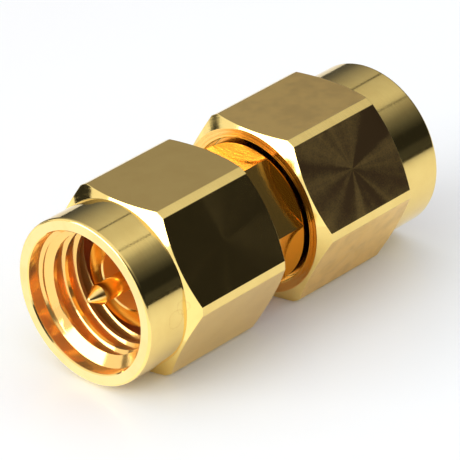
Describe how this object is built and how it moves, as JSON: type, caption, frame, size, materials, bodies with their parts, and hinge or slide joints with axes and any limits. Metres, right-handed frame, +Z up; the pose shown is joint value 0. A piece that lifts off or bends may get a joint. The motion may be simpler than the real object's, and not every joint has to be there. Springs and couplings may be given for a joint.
{
  "type": "rf adapter",
  "caption": "Straight coaxial plug-to-plug adapter in gold-plated brass: a through body with a small middle hexagon, a pin and sleeve at each end, and free-turning hexagonal coupling nuts.",
  "frame": {"origin": "middle of the common axis, which is the centre of the bounding box", "axes": "+X along the common axis towards the rear plug, +Z up, at right angles to the flats that it lies on, +Y across the corners of the nuts"},
  "size_m": [0.0186, 0.009, 0.008],
  "materials": {
    "gold_nut": "gold plate over turned and milled brass, bright",
    "gold_body": "gold plate over turned brass, bright",
    "gold_contact": "gold plate over a turned contact pin",
    "bead": "moulded amber polymer",
    "gasket": "red-brown silicone",
    "spring_bronze": "plain spring bronze"
  },
  "bodies": {
    "adapter_body": {"connector_body": "gold_body", "centre_contact": "gold_contact", "front_bead": "bead", "rear_bead": "bead", "front_gasket": "gasket", "rear_gasket": "gasket", "front_snap_ring": "spring_bronze", "rear_snap_ring": "spring_bronze"},
    "front_nut": {"front_coupling_nut": "gold_nut"},
    "rear_nut": {"rear_coupling_nut": "gold_nut"}
  },
  "joints": [
    {"name": "front_nut_spin", "type": "hinge", "parent": "adapter_body", "child": "front_nut", "pos_m": [0, 0, 0], "axis": [1, 0, 0], "continuous": true},
    {"name": "rear_nut_spin", "type": "hinge", "parent": "adapter_body", "child": "rear_nut", "pos_m": [0, 0, 0], "axis": [1, 0, 0], "continuous": true}
  ]
}
